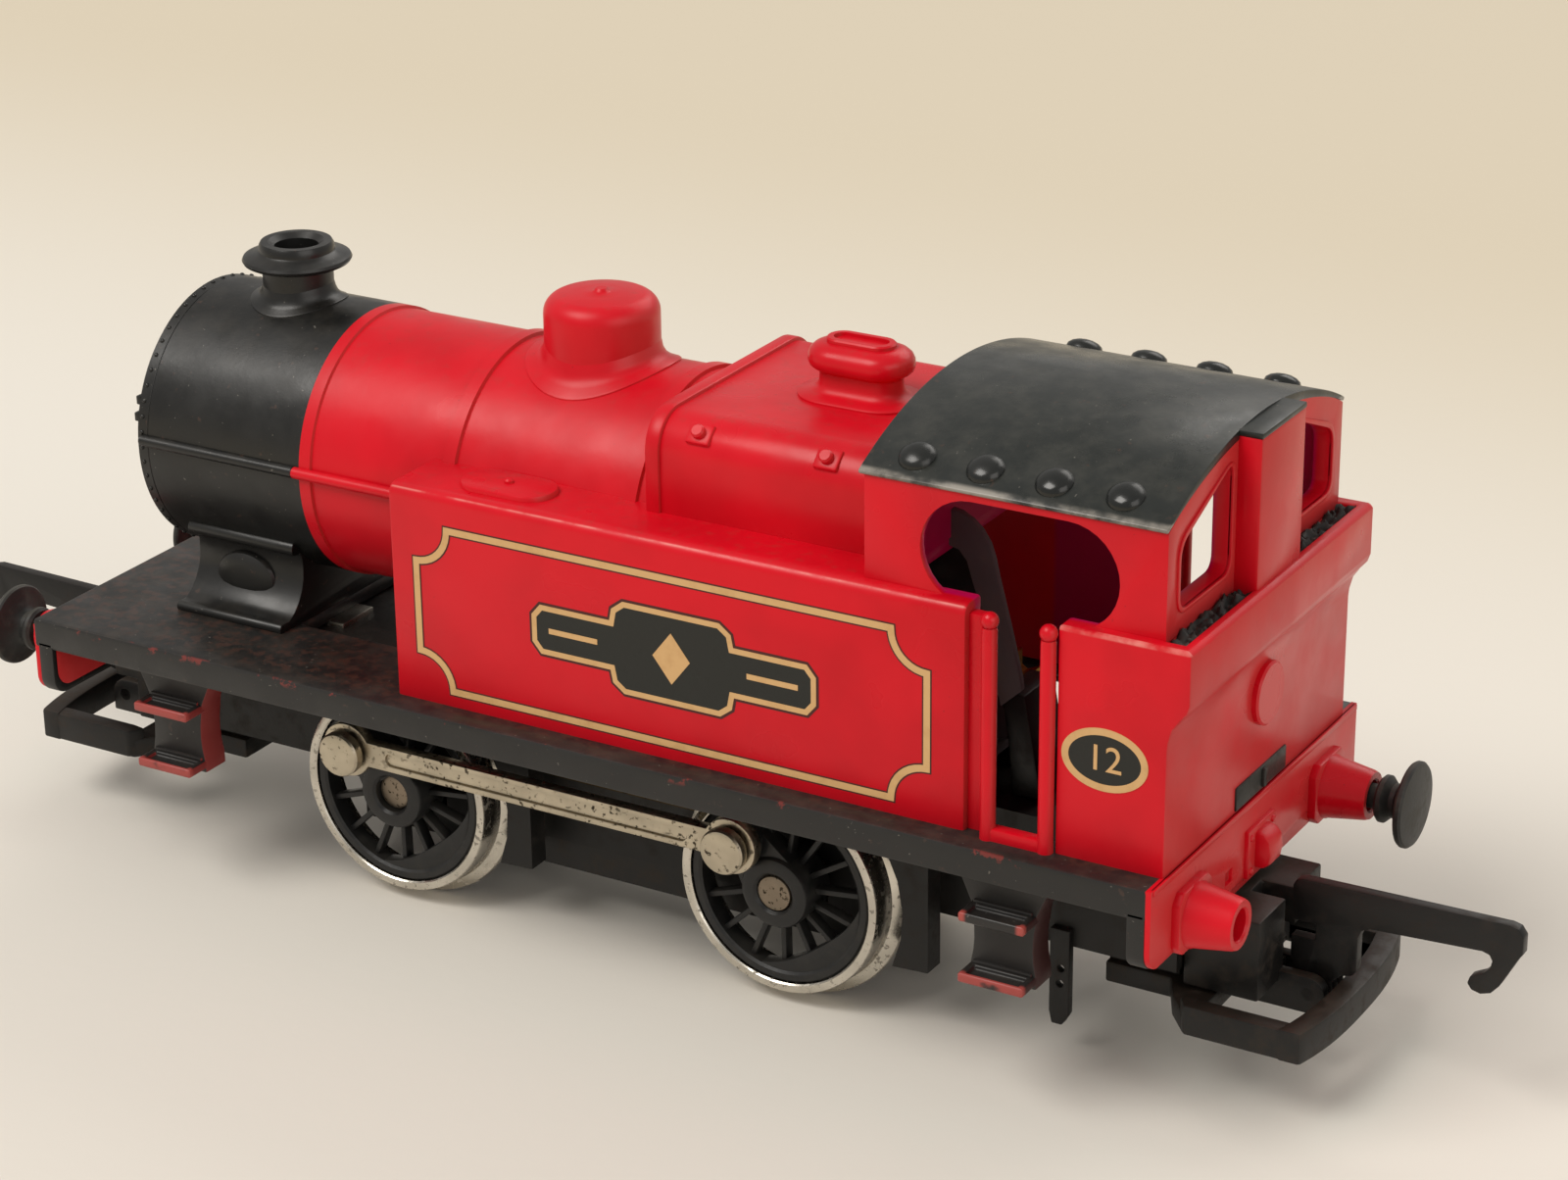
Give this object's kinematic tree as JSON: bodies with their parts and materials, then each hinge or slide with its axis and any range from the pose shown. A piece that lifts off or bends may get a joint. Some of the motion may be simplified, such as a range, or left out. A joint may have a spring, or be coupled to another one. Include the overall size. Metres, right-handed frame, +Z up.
{
  "type": "model steam locomotive",
  "caption": "Small-gauge model side-tank steam locomotive with spoked wheels, fluted coupling rods, geared motor and lifting hook couplings at both ends.",
  "frame": {"origin": "centre of the footprint at the lowest point of the wheel flanges", "axes": "+X towards the bunker end along the length, +Z up, the pictured side is -Y"},
  "size_m": [0.1314, 0.034, 0.0476],
  "materials": {
    "body_paint": "red moulded plastic with satin black painted areas",
    "black_moulding": "black moulded plastic, dusty",
    "chassis_black": "blackened casting",
    "nickel": "nickel plated, worn",
    "steel": "bright steel",
    "blackened_steel": "blackened steel sheet",
    "brass": "turned brass",
    "ballast_lead": "dull grey casting",
    "magnet_iron": "dark rough iron"
  },
  "bodies": {
    "engine": {"body_shell": "body_paint", "buffer_head_rear_right": "black_moulding", "buffer_head_front_left": "black_moulding", "buffer_head_front_right": "black_moulding", "keeper_plate": "black_moulding", "brush_bracket": "black_moulding", "coupling_loop_rear": "black_moulding", "coupling_loop_front": "black_moulding", "chassis_block": "chassis_black", "idler_pin": "steel", "keeper_screw_front": "steel", "keeper_screw_rear": "steel", "body_screw": "steel", "coupling_screw_rear": "steel", "coupling_screw_front": "steel", "hook_pin_rear": "steel", "hook_pin_front": "steel", "pickup_left": "brass", "pickup_right": "brass", "ballast_weight": "ballast_lead", "motor_yoke": "magnet_iron"},
    "rear_wheelset": {"axle_rear": "steel", "axle_gear": "brass", "wheel_centre_rear_left": "black_moulding", "wheel_centre_rear_right": "black_moulding", "tyre_rear_left": "nickel", "tyre_rear_right": "nickel", "crankpin_rear_left": "nickel", "crankpin_rear_right": "nickel"},
    "front_wheelset": {"axle_front": "steel", "wheel_centre_front_left": "black_moulding", "wheel_centre_front_right": "black_moulding", "tyre_front_left": "nickel", "tyre_front_right": "nickel", "crankpin_front_left": "nickel", "crankpin_front_right": "nickel"},
    "left_rod": {"rod_left": "nickel"},
    "right_rod": {"rod_right": "nickel"},
    "idler": {"idler_gear": "brass"},
    "armature": {"motor_shaft": "steel", "armature_core": "magnet_iron", "commutator": "brass", "motor_pinion": "brass"},
    "rear_hook": {"hook_rear": "blackened_steel"},
    "front_hook": {"hook_front": "blackened_steel"}
  },
  "joints": [
    {"name": "rear_axle_turn", "type": "hinge", "parent": "engine", "child": "rear_wheelset", "pos_m": [0.0144, 0, 0.009], "axis": [0, 1, 0], "continuous": true},
    {"name": "front_axle_turn", "type": "hinge", "parent": "engine", "child": "front_wheelset", "pos_m": [-0.0186, 0, 0.009], "axis": [0, 1, 0], "continuous": true},
    {"name": "left_rod_pivot", "type": "hinge", "parent": "rear_wheelset", "child": "left_rod", "pos_m": [0.01165, -0.0115, 0.01265], "axis": [0, 1, 0], "continuous": true},
    {"name": "right_rod_pivot", "type": "hinge", "parent": "rear_wheelset", "child": "right_rod", "pos_m": [0.01805, 0.0115, 0.01175], "axis": [0, 1, 0], "continuous": true},
    {"name": "idler_turn", "type": "hinge", "parent": "engine", "child": "idler", "pos_m": [0.02374, 0.0037, 0.01466], "axis": [0, 1, 0], "continuous": true},
    {"name": "motor_turn", "type": "hinge", "parent": "engine", "child": "armature", "pos_m": [0.02535, 0, 0.0218], "axis": [0, 1, 0], "continuous": true},
    {"name": "rear_hook_lift", "type": "hinge", "parent": "engine", "child": "rear_hook", "pos_m": [0.0512, 0, 0.0066], "axis": [0, -1, 0], "range_deg": [0, 18]},
    {"name": "front_hook_lift", "type": "hinge", "parent": "engine", "child": "front_hook", "pos_m": [-0.0512, 0, 0.0066], "axis": [0, 1, 0], "range_deg": [0, 18]}
  ],
  "couplings": [
    {"joint": "front_axle_turn", "follows": "rear_axle_turn", "ratio": 1},
    {"joint": "left_rod_pivot", "follows": "rear_axle_turn", "ratio": -1},
    {"joint": "right_rod_pivot", "follows": "rear_axle_turn", "ratio": -1},
    {"joint": "idler_turn", "follows": "rear_axle_turn", "ratio": -1.25},
    {"joint": "motor_turn", "follows": "rear_axle_turn", "ratio": 2.5}
  ]
}
